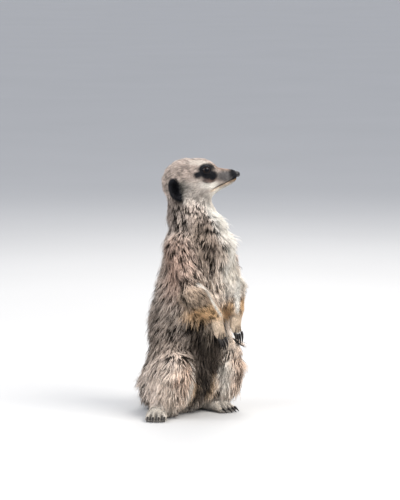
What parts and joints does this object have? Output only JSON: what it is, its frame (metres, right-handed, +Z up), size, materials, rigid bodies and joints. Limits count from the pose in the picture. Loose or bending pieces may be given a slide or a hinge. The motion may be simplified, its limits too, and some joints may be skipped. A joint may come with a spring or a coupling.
{
  "type": "meerkat model",
  "caption": "Life-size still model of a slender furry animal sitting upright on its haunches, head turned to its left, hands hanging, tail on the floor.",
  "frame": {"origin": "middle of the underside of the model's box, on the floor", "axes": "+Z up; the pelvis faces -Y and the animal's left is +X; the head is turned 45 degrees to its left"},
  "size_m": [0.2268, 0.2238, 0.2606],
  "materials": {
    "body": "matte grizzled fur",
    "face": "matte short pale fur",
    "paw": "matte short sandy fur",
    "ear": "matte black fur",
    "horn": "smooth dark horn",
    "eye": "wet gloss"
  },
  "bodies": {
    "root": {"trunk": "body", "neck": "body", "head": "face", "jaw": "face", "nose": "horn", "eye_left": "eye", "ear_left": "ear", "upper_arm_left": "body", "forearm_left": "paw", "hand_left": "paw", "thigh_left": "body", "shank_left": "body", "foot_left": "paw", "claw_hand_left_1": "horn", "claw_hand_left_2": "horn", "claw_hand_left_3": "horn", "claw_hand_left_4": "horn", "claw_foot_left_1": "horn", "claw_foot_left_2": "horn", "claw_foot_left_3": "horn", "claw_foot_left_4": "horn", "eye_right": "eye", "ear_right": "ear", "upper_arm_right": "body", "forearm_right": "paw", "hand_right": "paw", "thigh_right": "body", "shank_right": "body", "foot_right": "paw", "claw_hand_right_1": "horn", "claw_hand_right_2": "horn", "claw_hand_right_3": "horn", "claw_hand_right_4": "horn", "claw_foot_right_1": "horn", "claw_foot_right_2": "horn", "claw_foot_right_3": "horn", "claw_foot_right_4": "horn", "tail_base": "body", "tail_middle": "body", "tail_tip": "horn"}
  },
  "joints": []
}
